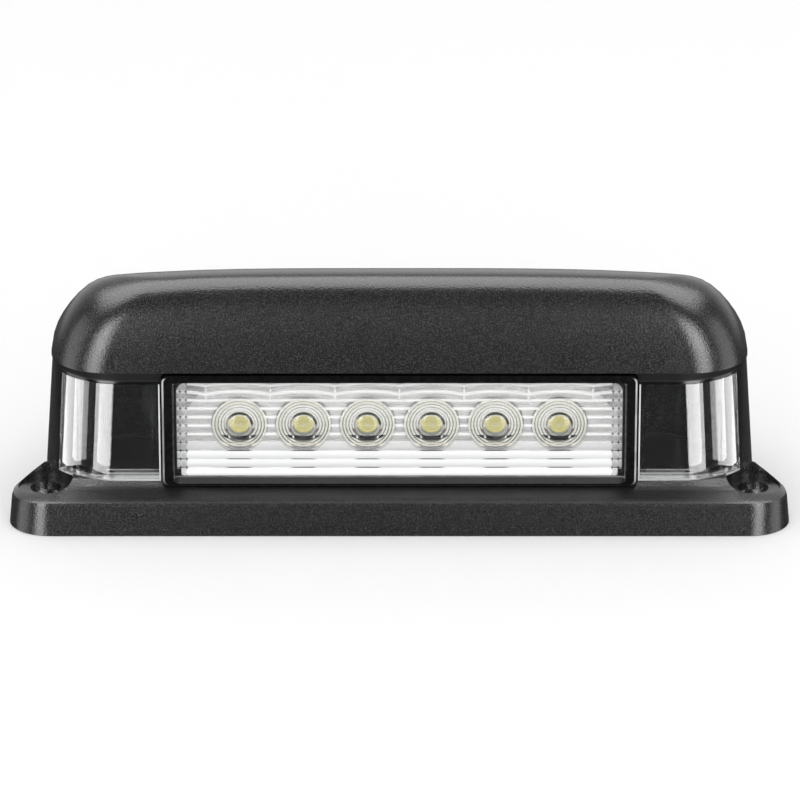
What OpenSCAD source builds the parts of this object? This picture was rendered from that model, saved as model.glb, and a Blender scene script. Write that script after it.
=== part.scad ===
// Number plate lamp with a moulded hood, a fluted window and two clear corner lenses.
// Millimetres. +Z is up from the mounting face, the window faces -Y and the origin is the
// middle of the base. Depths d are measured back from the flange's front edge.

/* [Base] */
// Length of the body between its two side walls, at the mounting face
body_len = 138; // [130:0.2:144]
// Depth of the lamp from the flange's front edge to its back wall
base_depth = 46; // [44:0.5:54]
// How far each ear stands out beyond the body
ear_reach = 6; // [5:0.1:10]
// Height of the flange's front face
flange_h = 7.1; // [6.4:0.1:8]
// Depth of the strip that ends in the two ears
flange_depth = 16.4; // [15:0.1:20]
// Corner radius of the flange in plan
flange_r = 8; // [6:0.1:8.2]
// How much lower the rim is at the ends of the ears
ear_drop = 0.7; // [0:0.1:1]
// How much higher the rim is behind the holes, where it meets the body
ear_lift = 2; // [0:0.1:2.4]

/* [Screw holes] */
// Distance from an ear's end to its hole
screw_inset = 7; // [6:0.1:8]
// Depth of the holes behind the flange's front edge
screw_depth = 9.2; // [8:0.1:10]
// Diameter of the screw holes
screw_hole_d = 6; // [4:0.1:7]
// Diameter of the pocket for a screw head
screw_pocket_d = 10.6; // [9:0.1:11]
// Height of the pocket's floor above the mounting face
screw_floor_h = 6.2; // [5.6:0.1:6.4]
// Thickness of the ear under a screw head
ear_wall = 1.6; // [1:0.1:3]

/* [Recessed front] */
// Depth of the recessed front wall
recess_depth = 8; // [7.6:0.1:9]
// Corner radius of the recessed front
recess_r = 14; // [12:0.5:16]
// Thickness of the recessed front wall
recess_wall = 3.8; // [3.4:0.1:4.6]
// Corner radius of the back in plan
back_r = 20; // [16:0.5:22]
// Draft of the side walls in degrees
side_draft = 4; // [0:0.1:5]

/* [Hood] */
// Overall height of the lamp
hood_h = 48.8; // [46:0.2:54]
// Height of the hood's lower lip
lip_h = 31.3; // [31:0.1:34]
// Depth of the lip behind the flange's front edge
lip_depth = 5.5; // [4.5:0.1:6.5]
// Corner radius of the lip in plan
lip_r = 11; // [9:0.5:12]
// Height of the rounding of the hood's shoulders
shoulder_h = 16.6; // [12:0.1:16.8]
// Width of the rounding at the hood's two ends
shoulder_side = 12; // [10:0.5:18]
// Depth of the rounding at the hood's front
shoulder_front = 7.5; // [5:0.5:9]
// How much further the hood's two ends lean in than the rounding alone
shoulder_taper = 3; // [0:0.5:5]
// Rise of the crowned top at its middle
crown_h = 1.4; // [0:0.1:2]
// How flat the middle of the crown is, where 2 is a plain bow
crown_flat = 3.7; // [2:0.1:5]
// Fall of the top towards the back, in millimetres for each millimetre
back_slope = 0.45; // [0.3:0.01:0.46]
// Wall of the hood, the sides and the back
shell_wall = 2.4; // [1.8:0.1:2.8]

/* [Window] */
// Length of the window in the bezel
window_len = 86.2; // [85.4:0.2:90]
// Height of the window in the bezel
window_h = 19.2; // [18.4:0.1:19.6]
// Height of the window's lower edge
window_low = 9.1; // [9:0.1:9.6]
// Width of the bezel's side bars
bezel_bar = 2.3; // [1.9:0.1:2.6]
// Height of the bezel's upper and lower bars
bezel_rail = 1.85; // [1.8:0.05:2.1]
// Depth of the bezel from front to back
bezel_depth = 2.6; // [2.4:0.1:3]
// How far the bezel stands in front of the recessed wall
bezel_proud = 1; // [0.6:0.1:1.2]
// Number of level flutes on the window lens
flute_count = 11; // [7:1:14]
// Height of a flute's crest
flute_rise = 0.3; // [0.1:0.05:0.35]
// Length of the strip of small cells at each end of the window lens
cell_strip = 2.3; // [2.2:0.1:3]
// Thickness of the window lens's plate
window_plate = 1.4; // [1.2:0.1:1.6]

/* [Side lenses] */
// Height of a side lens
side_lens_h = 20.1; // [18:0.1:22]
// How much lower a side lens reaches than the window
side_lens_drop = 1.2; // [0.8:0.1:1.3]
// Thickness of a side lens
side_lens_t = 1.8; // [1.4:0.1:2.2]
// Gap between a side lens and the bezel
side_lens_gap = 0.4; // [0.3:0.1:0.8]
// Angle that a side lens turns round the corner, in degrees
side_lens_turn = 54; // [45:1:66]

/* [Light unit] */
// Number of diodes
led_count = 6; // [6:1:6]
// Distance from an end of the window to the nearest diode's centre
led_margin = 12.3; // [11.8:0.1:13.6]
// Height of the diodes' centres
led_h = 16.9; // [16.6:0.1:17.2]
// Size of a diode's square package
led_size = 5; // [3.5:0.1:5]
// Thickness of a diode's package
led_t = 1.2; // [0.8:0.1:1.3]
// Diameter of a diode's round yellow face
led_face_d = 3.9; // [2.4:0.1:4.2]
// Gap between neighbouring ringed optics
optic_gap = 1.5; // [1:0.1:2.4]
// Depth of the reflector from front to back
reflector_depth = 7.7; // [7:0.1:9]
// Thickness of the circuit board
board_t = 1.6; // [1:0.1:2]
// Room for the driver behind the circuit board
driver_room = 6.6; // [6.4:0.1:9]
// Wall of the light unit's case
case_wall = 0.9; // [0.8:0.05:1]

/* [Underside] */
// Thickness of the base cover
cover_t = 2; // [1.4:0.1:2.4]
// How far the base cover lies above the mounting face
cover_inset = 0.7; // [0.5:0.1:1]
// Thickness of the rubber seal above the base cover
cover_seal_t = 0.9; // [0.6:0.1:1.4]
// Diameter of the cable grommet's neck
grommet_d = 9; // [7:0.1:11]

/* [Hidden] */
$fn = 48;

// Clearance of a piece in its seat
seat_gap = 0.1;
// Clearance round the light unit's case and the bezel in the housing
case_gap = 0.2;
// A cut runs this far past the face that it opens
past = 1;

side_slope = tan(side_draft);
back_lean = 0.02;
front_lean = 0.01;
base_len = body_len + 2 * ear_reach;
screw_x = base_len / 2 - screw_inset;

led_pitch = (window_len - 2 * led_margin) / (led_count - 1);
optic_d = led_pitch - optic_gap;

// Depths of the light unit's layers, from the front
bezel_front = recess_depth - bezel_proud;
bezel_back = bezel_front + bezel_depth;
plate_front = bezel_back - window_plate;
window_seal_t = 0.6;
seal_back = bezel_back + window_seal_t;
reflector_front = bezel_back;
reflector_back = reflector_front + reflector_depth;
reflector_wall = 1.4;
board_front = reflector_back;
board_back = board_front + board_t;
case_back = board_back + driver_room + case_wall;

window_top = window_low + window_h;
bezel_x = window_len / 2 + bezel_bar;
bezel_low = window_low - bezel_rail;
bezel_top = window_top + bezel_rail;
reflector_x = window_len / 2 - 0.3;
reflector_low = window_low - 0.1;
reflector_top = window_top + 0.2;
case_x = reflector_x + seat_gap + case_wall;
case_low = reflector_low - seat_gap - case_wall;
case_top = reflector_top + seat_gap + case_wall;

side_lens_low = window_low - side_lens_drop;
side_lens_x = bezel_x + side_lens_gap;

// Recessed wall and hood
shoulder_low = max(hood_h - shoulder_h, lip_h + 0.2);
top_start = lip_depth + shoulder_front;
top_ease = 7;
shoulder_back = 15;
cave_floor = lip_h + shell_wall;
cave_back = base_depth - 10;
hood_mx = 12;
hood_my = 7;

// A place at depth d behind the flange's front edge
function y_at(d) = d - base_depth / 2;
function side_x(z) = body_len / 2 - side_slope * z;
function front_y(z) = y_at(recess_depth + front_lean * z);
function back_y(z) = y_at(base_depth - back_lean * z);
function mix(a, b, t) = a + (b - a) * t;
function clamp(v, low, high) = min(max(v, low), high);

// Points of a quarter circle, and of the inside of a straight stretch
function arc_pts(cx, cy, r, start, n) =
    [for (i = [0:n]) [cx + r * cos(start + 90 * i / n), cy + r * sin(start + 90 * i / n)]];
function line_pts(a, b, m) = m < 2 ? [] : [for (i = [1:m - 1]) mix(a, b, i / m)];

// Plan outline with rounded corners: radius front_r and rear_r as far as the depth holds them,
// n steps a corner, mx and my steps along the long and short sides
function plan_pts(xh, y0, y1, front_r, rear_r, n, mx = 1, my = 1) =
    let (rf = min(front_r, 0.5 * (y1 - y0)))
    let (rb = min(rear_r, 0.98 * (y1 - y0) - rf))
    let (br = arc_pts(xh - rb, y1 - rb, rb, 0, n))
    let (bl = arc_pts(rb - xh, y1 - rb, rb, 90, n))
    let (fl = arc_pts(rf - xh, y0 + rf, rf, 180, n))
    let (fr = arc_pts(xh - rf, y0 + rf, rf, 270, n))
    concat(
        br, line_pts(br[n], bl[0], mx),
        bl, line_pts(bl[n], fl[0], my),
        fl, line_pts(fl[n], fr[0], mx),
        fr, line_pts(fr[n], br[0], my)
    );
function lift(pts, z) = [for (p = pts) [p.x, p.y, z]];

// Inner points of the net that closes a ring's top, in rows from the front to the back
function cap_rows(ring, my) =
    let (w = len(ring) / 2 - my)
    [for (k = [1:my - 1], i = [1:w - 1]) mix(ring[w + my + i], ring[w - i], k / my)];

// Solid skin over a stack of rings with equal counts of points, closed by a net of my rows
module loft(rings, cap, my) {
    n = len(rings[0]);
    w = n / 2 - my;
    last = (len(rings) - 1) * n;
    function net(k, i) =
        i == 0 ? last + w + my - k
        : i == w ? last + (2 * w + my + k) % n
        : k == 0 ? last + w + my + i
        : k == my ? last + w - i
        : last + n + (k - 1) * (w - 1) + i - 1;
    sides = [
        for (j = [0:len(rings) - 2], i = [0:n - 1])
        let (a = j * n + i, b = j * n + (i + 1) % n)
        each [[a, a + n, b + n], [a, b + n, b]]
    ];
    centre = [0, mix(min([for (p = rings[0]) p.y]), max([for (p = rings[0]) p.y]), 0.5), rings[0][0].z];
    middle = last + n + len(cap);
    low = [for (i = [0:n - 1]) [middle, i, (i + 1) % n]];
    top = [
        for (k = [0:my - 1], i = [0:w - 1])
        let (a = net(k, i), b = net(k + 1, i), c = net(k + 1, i + 1), d = net(k, i + 1))
        each [[a, b, c], [a, c, d]]
    ];
    polyhedron(points = concat([for (r = rings) each r], cap, [centre]), faces = concat(sides, low, top));
}

// Straight-sided solid between two level outlines
module prism(low, high) {
    n = len(low);
    sides = [for (i = [0:n - 1]) let (b = (i + 1) % n) each [[i, i + n, b + n], [i, b + n, b]]];
    polyhedron(
        points = concat(low, high),
        faces = concat(sides, [[for (i = [0:n - 1]) i], [for (i = [n - 1:-1:0]) n + i]])
    );
}

// Level outline with rounded corners, from exact squares and circles
module round_rect(x0, x1, y0, y1, r) {
    translate([x0 + r, y0]) square([x1 - x0 - 2 * r, y1 - y0]);
    translate([x0, y0 + r]) square([x1 - x0, y1 - y0 - 2 * r]);
    for (x = [x0 + r, x1 - r], y = [y0 + r, y1 - r]) translate([x, y]) circle(r);
}

// Upright slab from depth d0 to d1, with rounded corners seen from the front
module slab(xh, z0, z1, r, d0, d1) {
    translate([0, y_at(d1), 0]) rotate([90, 0, 0]) linear_extrude(d1 - d0) round_rect(-xh, xh, z0, z1, r);
}

// Round bar along the depth
module rod(x, z, r, d0, d1) {
    translate([x, y_at(d1), z]) rotate([90, 0, 0]) cylinder(r = r, h = d1 - d0);
}

module box(x0, x1, d0, d1, z0, z1) {
    translate([x0, y_at(d0), z0]) cube([x1 - x0, d1 - d0, z1 - z0]);
}

// Ring of the body's lower part at height z, inset from its surface
function body_ring(z, inset, n) =
    lift(plan_pts(side_x(z) - inset, front_y(z) + inset, back_y(z) - inset,
        recess_r - inset, back_r - inset, n), z);

module body_core(inset, z0, z1) {
    prism(body_ring(z0, inset, 20), body_ring(z1, inset, 20));
}

// Hood: the height of its top, and its rings
function top_fall(d) =
    let (u = d - top_start)
    u <= 0 ? 0 : back_slope * (u < top_ease ? u * u / (2 * top_ease) : u - top_ease / 2);
function top_z(x, y) =
    let (half = side_x(shoulder_low) - shoulder_side)
    hood_h - crown_h * pow(min(abs(x) / half, 1), crown_flat) - top_fall(y + base_depth / 2);
function under_top(p, low, inset) =
    let (full = hood_h - inset - low, here = top_z(p.x, p.y) - inset - low)
    [p.x, p.y, low + (p.z - low) * here / full];
function hood_plan(t, inset, back) =
    let (round_in = (shoulder_side - shoulder_taper - inset) * (1 - cos(t)))
    let (xh = side_x(shoulder_low) - inset - round_in - shoulder_taper * sin(t))
    let (y0 = y_at(lip_depth) + inset + (shoulder_front - inset) * (1 - cos(t)))
    let (y1 = back - (shoulder_back - inset) * (1 - cos(t)))
    plan_pts(xh, y0, y1, lip_r - inset, back_r - inset, 10, hood_mx, hood_my);
function hood_ring(t, inset, low, back) =
    let (z = shoulder_low + (hood_h - shoulder_low - inset) * sin(t))
    [for (p = lift(hood_plan(t, inset, back), z)) under_top(p, low, inset)];
function hood_cap(inset, low, back) =
    [for (p = cap_rows(hood_plan(90, inset, back), hood_my))
        under_top([p.x, p.y, hood_h - inset], low, inset)];
function lip_ring(z, front, inset, back) =
    lift(plan_pts(side_x(z) - inset, front, back, lip_r - inset, back_r - inset, 10, hood_mx, hood_my), z);

module hood_skin() {
    back = back_y(shoulder_low);
    loft(concat(
        [lip_ring(lip_h, y_at(lip_depth), 0, back_y(lip_h))],
        [for (t = [0, 12, 24, 36, 48, 60, 70, 80, 90]) hood_ring(t, 0, lip_h, back)]
    ), hood_cap(0, lip_h, back), hood_my);
}

module hood_cave() {
    back = y_at(cave_back);
    inner_front = y_at(recess_depth + recess_wall + 0.4);
    loft(concat(
        [lip_ring(lip_h - 1, inner_front, shell_wall, back)],
        [for (t = [0, 18, 36, 54, 72, 90]) hood_ring(t, shell_wall, cave_floor, back)]
    ), hood_cap(shell_wall, cave_floor, back), hood_my);
}

// Flange with its two ears, and the ramp that climbs to the body
function ear_rise(p) =
    ear_lift * clamp((base_len / 2 - 1.5 - abs(p.x)) / 5, 0, 1) * clamp((p.y - y_at(9)) / 5, 0, 1);
function skirt_ring(z, inset, back_inset, drop) =
    let (x = base_len / 2 - inset, r = flange_r - min(inset, 5.4))
    [for (p = plan_pts(x, y_at(inset), y_at(flange_depth - back_inset), r, r, 12, 2, 2))
        [p.x, p.y, z + (z > 0 ? ear_rise(p) : 0) - drop * clamp((abs(p.x) - base_len / 2 + 14) / 14, 0, 1)]];
function ramp_ring() =
    let (x = side_x(0) - 0.9, rise = 1.4, r = flange_depth - 11)
    [for (p = plan_pts(x, y_at(recess_depth) + 0.2, y_at(flange_depth - 1.6), r, 0.8, 12, 2, 2))
        [p.x, p.y, side_lens_low + rise * clamp((abs(p.x) - x + 6) / 6, 0, 1)]];

module skirt() {
    loft([
        skirt_ring(0, 0, 0, 0),
        skirt_ring(flange_h - 1.2, 0.5, 0.4, ear_drop),
        skirt_ring(flange_h - 0.4, 0.8, 0.7, ear_drop),
        skirt_ring(flange_h, 1.6, 1.2, ear_drop),
        skirt_ring(flange_h + 0.25, 5.2, 1.4, 0),
        ramp_ring()
    ], cap_rows(ramp_ring(), 2), 2);
}

// Region of a side lens: clear of its inner end, its outer end, its bottom and its top
module lens_region(inner, outer, low, high) {
    cx = side_x(side_lens_low) - recess_r;
    cy = front_y(side_lens_low) + recess_r;
    turn = side_lens_turn - outer / recess_r * 180 / PI;
    reach = 3 * recess_r;
    translate([0, 0, side_lens_low + low]) linear_extrude(side_lens_h - low - high) polygon([
        [side_lens_x + inner, cy - reach],
        [cx + reach * sin(turn), cy - reach],
        [cx + reach * sin(turn), cy - reach * cos(turn)],
        [cx, cy],
        [side_lens_x + inner, cy]
    ]);
}

module side_lens() {
    color([0.9, 0.93, 0.95, 0.5])
    intersection() {
        difference() {
            body_core(0, 2, lip_h - 0.5);
            body_core(side_lens_t, 1, lip_h);
        }
        lens_region(0, seat_gap, seat_gap, seat_gap);
    }
}

module lens_seats() {
    difference() {
        intersection() {
            body_core(-0.5, 2, lip_h - 0.5);
            both_sides() lens_region(-side_lens_gap - 0.1, 0, 0, 0);
        }
        body_core(side_lens_t, 1, lip_h);
    }
    both_sides() lens_region(1.5, 0.4, 1.5, 0.8);
}

module both_sides() {
    for (side = [0, 1]) mirror([side, 0, 0]) children();
}

// Bosses that take the base cover's screws
boss_r = 3;
boss_to_wall = 2.4;
boss_turn = (back_r - shell_wall - boss_to_wall) / sqrt(2);
boss_spots = [
    [side_x(0) - recess_r - 4.4, recess_depth + recess_wall + boss_to_wall],
    [side_x(0) - back_r + boss_turn, base_depth - back_r + boss_turn]
];
boss_low = cover_inset + cover_t;
boss_top = case_low - 0.5;
foot_r = 2.1;
pilot_r = 1.35;
pilot_deep = boss_top - boss_low - 0.8;
cover_gap = 0.2;
ledge = 0.9;
ledge_h = boss_low + cover_seal_t;

module at_bosses() {
    for (side = [-1, 1], spot = boss_spots) translate([side * spot.x, y_at(spot.y), 0]) children();
}

// Hollow under the flange, with ribs across it
module flange_hollow() {
    roof = screw_floor_h - ear_wall;
    wall = 2.2;
    rib_t = 1.2;
    rib_pitch = base_len * 0.07;
    x = base_len / 2 - wall;
    d0 = wall;
    d1 = recess_depth + 0.6;
    r = flange_r - wall;
    difference() {
        union() {
            translate([0, 0, -past]) linear_extrude(roof + past)
                round_rect(-x, x, y_at(d0), y_at(d1), 2.9);
            for (side = [-1, 1]) {
                translate([side * (base_len / 2 - flange_r), y_at(flange_r), -past])
                    cylinder(r = r, h = roof + past);
            }
        }
        for (i = [-5:5]) translate([i * rib_pitch, 0, 0])
            box(-rib_t / 2, rib_t / 2, 0, d1 + past, -2 * past, roof + past);
    }
}

// Room inside the walls, open below
function room_ring(z) =
    lift(plan_pts(side_x(z) - shell_wall, y_at(recess_depth + recess_wall), back_y(z) - shell_wall,
        recess_r - shell_wall, back_r - shell_wall, 10), z);

module room() {
    prism(room_ring(0.5), room_ring(lip_h + 0.3));
}

// Screw hole and head pocket of each ear
module ear_holes() {
    for (side = [-1, 1]) translate([side * screw_x, y_at(screw_depth), 0]) {
        translate([0, 0, screw_floor_h]) cylinder(d = screw_pocket_d, h = 6);
        translate([0, 0, -past]) cylinder(d = screw_hole_d, h = screw_floor_h + 2 * past);
    }
}

module housing() {
    notch_low = bezel_low - 0.1;
    notch_top = bezel_top + case_gap;
    open_low = case_low - case_gap;
    open_top = case_top + case_gap;
    color([0.16, 0.16, 0.165])
    difference() {
        union() {
            difference() {
                union() {
                    skirt();
                    body_core(0.04, 0, lip_h + 0.4);
                    hood_skin();
                }
                room();
                hood_cave();
                cover_seat(0, -past, ledge_h);
            }
            at_bosses() translate([0, 0, ledge_h]) cylinder(r = boss_r, h = boss_top - ledge_h);
            at_bosses() translate([0, 0, boss_low]) cylinder(r = foot_r, h = boss_top - boss_low);
        }
        at_bosses() translate([0, 0, boss_low - past]) cylinder(r = pilot_r, h = pilot_deep + past);
        flange_hollow();
        ear_holes();
        slab(bezel_x + case_gap, notch_low, notch_top, 1.4, 0, bezel_back);
        slab(case_x + case_gap, open_low, open_top, 1, 0, recess_depth + recess_wall + past);
        lens_seats();
    }
}

// Outline of the underside's step, inset by a clearance
module cover_seat(gap, z0, z1) {
    inset = shell_wall - ledge + gap;
    x = side_x(0) - inset;
    y0 = y_at(recess_depth + recess_wall - ledge + gap);
    y1 = back_y(0) - inset;
    front_r = recess_r - 4 - inset;
    rear_r = back_r - inset;
    translate([0, 0, z0]) linear_extrude(z1 - z0) {
        translate([-x, y0 + front_r]) square([2 * x, y1 - y0 - front_r - rear_r]);
        translate([front_r - x, y0]) square([2 * (x - front_r), front_r + past]);
        translate([rear_r - x, y1 - rear_r - past]) square([2 * (x - rear_r), rear_r + past]);
        for (side = [-1, 1]) {
            translate([side * (x - front_r), y0 + front_r]) circle(front_r);
            translate([side * (x - rear_r), y1 - rear_r]) circle(rear_r);
        }
    }
}

head_r = 2.7;
head_t = 1.1;

module base_cover() {
    color([0.12, 0.12, 0.125])
    difference() {
        cover_seat(cover_gap, cover_inset, boss_low);
        at_bosses() translate([0, 0, -past]) cylinder(r = pilot_r + 0.3, h = boss_low + 2 * past);
        at_bosses() translate([0, 0, -past])
            cylinder(r = head_r + 0.3, h = cover_inset + past + head_t - 0.2);
        translate([0, y_at(grommet_depth), -past]) cylinder(d = grommet_d + 0.2, h = boss_low + 2 * past);
    }
}

module cover_seal() {
    color([0.08, 0.08, 0.08])
    difference() {
        cover_seat(cover_gap, boss_low, ledge_h);
        cover_seat(cover_gap + 0.8, boss_low - past, ledge_h + past);
    }
}

module cover_screws() {
    color([0.7, 0.7, 0.72])
    at_bosses() {
        translate([0, 0, cover_inset - 0.2]) difference() {
            cylinder(r = head_r, h = head_t);
            translate([-1.6, -0.25, -past]) cube([3.2, 0.5, past + 0.6]);
            translate([-0.25, -1.6, -past]) cube([0.5, 3.2, past + 0.6]);
        }
        translate([0, 0, cover_inset + head_t - 0.2])
            cylinder(r = pilot_r - 0.05, h = cover_t - head_t + pilot_deep - 0.2);
    }
}

grommet_depth = base_depth - 14;

// Rubber inlet for a cable, still closed inside by its membrane
module cable_grommet() {
    r = grommet_d / 2;
    bore = r - 2.2;
    top = boss_low + 2.4;
    color([0.06, 0.06, 0.06])
    translate([0, y_at(grommet_depth), 0]) rotate_extrude() polygon([
        [0, top], [r - 0.6, top], [r + 1.8, boss_low + 1.2], [r + 1.8, boss_low], [r, boss_low],
        [r, cover_inset], [r + 1.4, cover_inset], [r + 1.2, 0.2], [bore + 0.6, 0.2], [bore, 1],
        [bore, top - 1], [0, top - 1]
    ]);
}

// Bezel with a flared sill round the window, which is widest along the lower edge
module bezel() {
    sill_flare = 0.4;
    sill_drop = 1.2;
    seam = 0.01;
    color([0.03, 0.03, 0.03])
    difference() {
        slab(bezel_x, bezel_low, bezel_top, 1.3, bezel_front, bezel_back);
        slab(window_len / 2, window_low, window_top, 1, bezel_front - past, bezel_back + past);
        slab(plate_x + seat_gap, plate_low - seat_gap, plate_top + seat_gap, 1.2,
            plate_front, bezel_back + past);
        hull() {
            slab(window_len / 2 + sill_flare, window_low - sill_drop, window_top + sill_flare, 1.2,
                bezel_front - seam, bezel_front);
            slab(window_len / 2, window_low, window_top, 1, plate_front - seam, plate_front);
        }
    }
}

plate_x = window_len / 2 + 0.7;
plate_low = window_low - 0.8;
plate_top = window_top + 0.8;
flute_pitch = window_h / flute_count;
flute_r = (flute_pitch * flute_pitch / 4 + flute_rise * flute_rise) / (2 * flute_rise);
flute_x = window_len / 2 - cell_strip;

// One stretch of a flute between two sections, standing on the plate
module flute(z, x0, x1) {
    translate([x0, y_at(plate_front), z]) rotate([90, 0, 90]) linear_extrude(x1 - x0) intersection() {
        translate([flute_r - flute_rise, 0]) circle(flute_r);
        translate([-flute_rise - past, -flute_pitch / 2]) square([flute_rise + past + 0.1, flute_pitch]);
    }
}

module window_lens() {
    cell = cell_strip / 2;
    cell_gap = 0.2;
    cell_end = 0.06;
    color([0.9, 0.93, 0.95, 0.5]) {
        slab(plate_x, plate_low, plate_top, 1.1, plate_front, bezel_back);
        for (i = [0:flute_count - 1]) {
            z = window_low + flute_pitch * (i + 0.5);
            flute(z, -flute_x, flute_x);
            for (k = [0, 1]) both_sides()
                flute(z, flute_x + cell * k + cell_gap, flute_x + cell * (k + 1) - cell_end);
        }
    }
}

module window_seal() {
    color([0.05, 0.05, 0.05])
    difference() {
        slab(plate_x, plate_low, plate_top, 1.1, bezel_back, seal_back);
        slab(reflector_x + 0.15, reflector_low - 0.12, reflector_top + 0.12, 0.6,
            bezel_back - past, seal_back + past);
    }
}

module module_case() {
    color([0.1, 0.1, 0.1])
    difference() {
        union() {
            slab(case_x, case_low, case_top, 0.9, seal_back, case_back);
            for (share = [-0.55, 0.55]) snap_wedges(on_board(share));
        }
        difference() {
            slab(reflector_x + seat_gap, reflector_low - seat_gap, reflector_top + seat_gap, 0.5,
                seal_back - past, case_back - case_wall);
            for (share = [-0.9, -0.3, 0.3, 0.9]) translate([on_board(share), 0, 0])
                box(-0.6, 0.6, board_back, case_back, 0, led_h * 2);
        }
        rod(0, led_h, 2.6, board_back, case_back + past);
    }
}

// Wedges above and below the case that catch behind the housing's wall
module snap_wedges(x) {
    catch = recess_depth + recess_wall;
    rise = 0.8;
    for (up = [0, 1]) {
        z = up == 1 ? case_top - 0.2 : case_low + 0.2;
        turn = up == 1 ? 1 : -1;
        translate([x - 3, y_at(catch), z]) rotate([90, 0, 90]) linear_extrude(6)
            polygon([[0, 0], [0, turn * rise], [3, turn * 0.1], [3, 0]]);
    }
}

led_x = [for (i = [0:led_count - 1]) (i - (led_count - 1) / 2) * led_pitch];

module reflector() {
    back_inner = reflector_back - reflector_wall;
    floor_front = reflector_low + 0.4;
    floor_back = led_h - optic_d / 2 - 0.1;
    scoop_back = optic_d / 2 - 0.1;
    scoop_front = reflector_top - 0.4 - led_h;
    color([0.93, 0.93, 0.92])
    difference() {
        slab(reflector_x, reflector_low, reflector_top, 0.4, reflector_front, reflector_back);
        translate([1.2 - reflector_x, y_at(0), 0]) rotate([90, 0, 90]) linear_extrude(2 * reflector_x - 2.4)
            polygon([
                [reflector_front - past, floor_front], [reflector_front, floor_front],
                [back_inner, floor_back], [back_inner, led_h + scoop_back],
                [reflector_front - past, led_h + scoop_back]
            ]);
        for (x = led_x) {
            rod(x, led_h, optic_d / 2 + seat_gap, reflector_front, reflector_back + past);
            intersection() {
                translate([x, y_at(back_inner), led_h]) rotate([90, 0, 0])
                    cylinder(r1 = scoop_back, r2 = scoop_front, h = back_inner - reflector_front);
                box(x - 20, x + 20, 0, base_depth, led_h, hood_h);
            }
        }
    }
}

module circuit_board() {
    color([0.85, 0.87, 0.83])
    slab(reflector_x - 0.2, reflector_low + 0.1, reflector_top - 0.1, 0.6, board_front, board_back);
}

// Diode package with a round window, and the dome of its yellow face
module led(i) {
    x = led_x[i - 1];
    color([0.86, 0.84, 0.6])
    difference() {
        box(x - led_size / 2, x + led_size / 2, board_front - led_t, board_front, led_h - led_size / 2,
            led_h + led_size / 2);
        translate([x, y_at(board_front - led_t + 0.25), led_h]) rotate([90, 0, 0])
            cylinder(d1 = led_face_d - 0.3, d2 = led_face_d, h = 0.26);
    }
}

// Clear optic: a centre dome, two ring ridges and a skirt that stands on the board
module optic(i) {
    r = optic_d / 2;
    dome_rise = 0.96;
    ridge = 0.7;
    rim = 0.5;
    chamfer = 0.2;
    hollow = led_t + 0.35;
    hollow_r = led_size / sqrt(2) + seat_gap;
    hollow_chamfer = 0.4;
    plate = reflector_wall + 0.5;
    color([0.93, 0.93, 0.85, 0.5])
    translate([led_x[i - 1], y_at(board_front), led_h]) rotate([90, 0, 0]) rotate_extrude() polygon(concat(
        [[0, hollow], [0, plate + 0.3 + dome_rise]],
        [for (a = [15:15:75]) [r * 0.5 * sin(a), plate + 0.3 + dome_rise * cos(a)]],
        [[r * 0.54, plate], [r * 0.61, plate], [r * 0.67, plate + ridge], [r * 0.76, plate + ridge]],
        [[r * 0.81, plate + 0.1], [r * 0.85, plate + 0.1], [r * 0.89, plate + rim]],
        [[r - chamfer, plate + rim], [r, plate + rim - chamfer], [r, 0], [hollow_r, 0]],
        [[hollow_r, hollow - hollow_chamfer], [hollow_r - hollow_chamfer, hollow]]
    ));
}

// A place along the circuit board, where 1 is its end
function on_board(share) = share * (reflector_x - 0.2);

module on_back(x, w, t, h, z = 0) {
    box(x - w / 2, x + w / 2, board_back, board_back + t, led_h + z - h / 2, led_h + z + h / 2);
}

module regulator() {
    color([0.1, 0.1, 0.1]) {
        on_back(on_board(-0.48), 6.5, 2.3, 6);
        on_back(on_board(-0.48), 5.7, 0.6, 1.4, 3.7);
    }
}

module capacitor() {
    can_r = 3.15;
    can_h = driver_room - 1.2;
    color([0.78, 0.78, 0.8]) {
        on_back(on_board(-0.72), 2 * can_r + 0.3, 1, 2 * can_r + 0.3);
        rod(on_board(-0.72), led_h, can_r, board_back, board_back + can_h);
    }
}

module diodes() {
    color([0.07, 0.07, 0.07])
    for (share = [0.44, 0.6]) on_back(on_board(share), 4.3, 2.2, 2.6);
}

module resistors() {
    color([0.15, 0.15, 0.16])
    for (share = [-0.22, -0.13, 0.13, 0.22]) on_back(on_board(share), 1.6, 0.6, 3.2);
}

module supply_pins() {
    color([0.8, 0.65, 0.3])
    for (share = [0.7, 0.79]) {
        rod(on_board(share), led_h, 0.5, board_back, board_back + 4);
        rod(on_board(share), led_h, 1, board_back, board_back + 0.4);
    }
}

module wire_seal() {
    color([0.06, 0.06, 0.06])
    translate([0, y_at(case_back), led_h]) rotate([90, 0, 0]) rotate_extrude() polygon([
        [0, case_wall - 0.3], [1.2, case_wall - 0.3], [1.2, -1.4], [2.2, -1.4], [3.4, -0.8], [3.4, 0],
        [2.5, 0], [2.5, case_wall], [3.1, case_wall], [2.9, case_wall + 0.6], [0, case_wall + 0.6]
    ]);
}

housing();
mirror([1, 0, 0]) side_lens();  // side_lens_left
side_lens();  // side_lens_right
bezel();
window_lens();
window_seal();
module_case();
reflector();
circuit_board();
led(1);  // led_1
led(2);  // led_2
led(3);  // led_3
led(4);  // led_4
led(5);  // led_5
led(6);  // led_6
optic(1);  // optic_1
optic(2);  // optic_2
optic(3);  // optic_3
optic(4);  // optic_4
optic(5);  // optic_5
optic(6);  // optic_6
regulator();
capacitor();
diodes();
resistors();
supply_pins();
wire_seal();
base_cover();
cover_seal();
cover_screws();
cable_grommet();
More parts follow.
